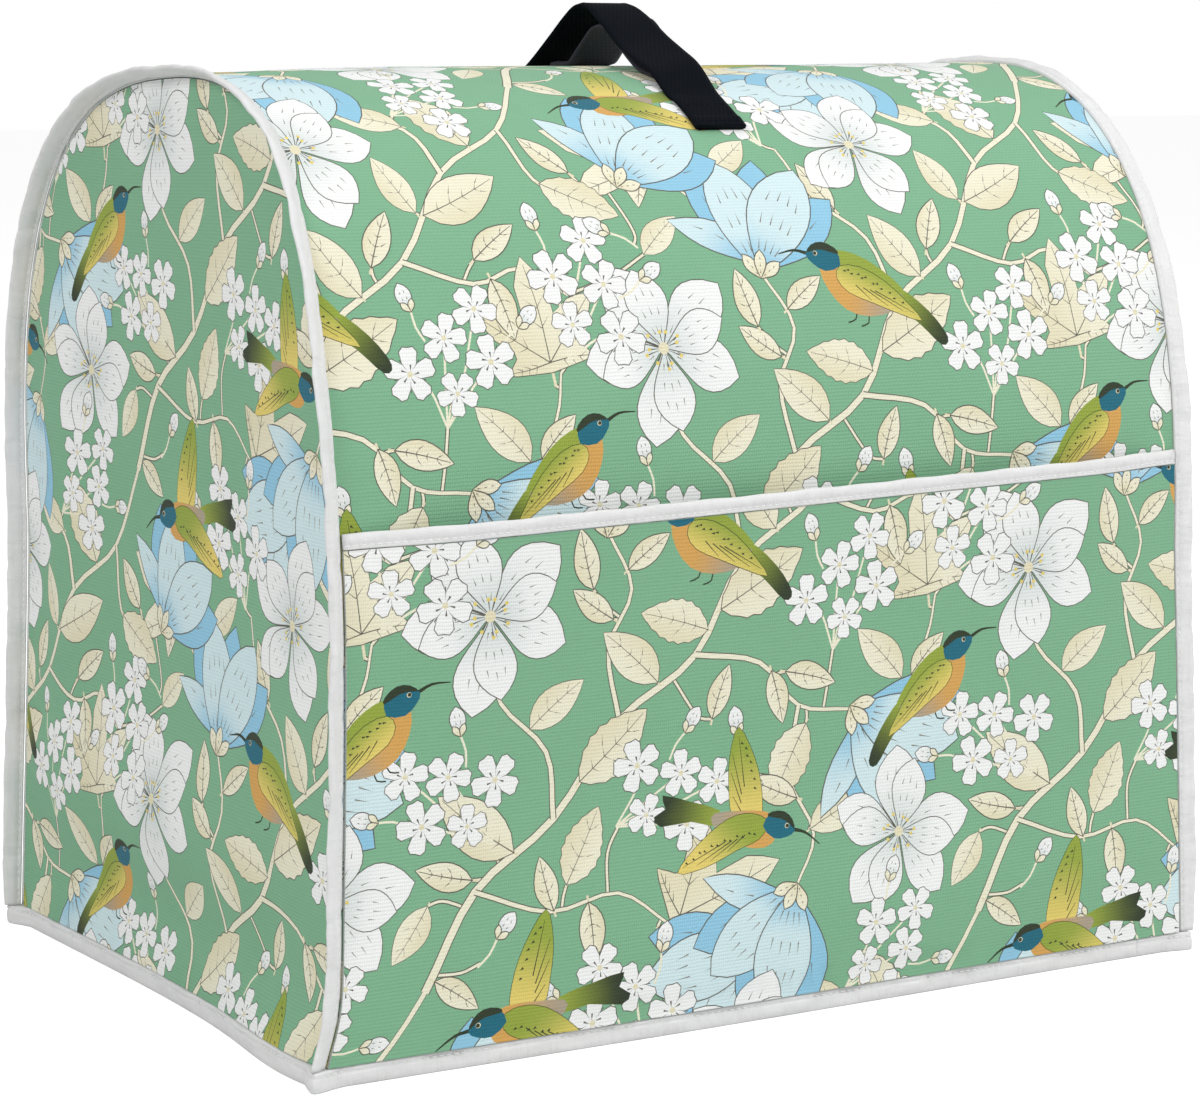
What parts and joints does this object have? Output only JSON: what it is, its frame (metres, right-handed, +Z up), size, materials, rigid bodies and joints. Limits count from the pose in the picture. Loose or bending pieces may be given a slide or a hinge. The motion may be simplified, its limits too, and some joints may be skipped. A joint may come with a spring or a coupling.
{
  "type": "stand mixer cover",
  "caption": "Fitted cloth dust cover for a stand mixer: arched body open below, full-width front pocket, white bound seams and a webbing handle on top.",
  "frame": {"origin": "centre of the footprint on the surface that the hem stands on", "axes": "+Z up; +X along the width, to the right seen from the front; the front with the pocket faces -Y"},
  "size_m": [0.4549, 0.3298, 0.4271],
  "materials": {
    "printed_cloth": "plain-woven cloth printed with flowers, leaves and small birds on a green ground",
    "white_binding": "white woven binding tape with fine stitching",
    "black_webbing": "black woven webbing with a slight sheen"
  },
  "bodies": {
    "root": {"main_band": "printed_cloth", "side_left": "printed_cloth", "side_right": "printed_cloth", "seam_binding_left": "white_binding", "seam_binding_right": "white_binding", "hem_binding": "white_binding", "pocket": "printed_cloth", "pocket_binding": "white_binding", "handle": "black_webbing", "handle_inner": "black_webbing"}
  },
  "joints": []
}
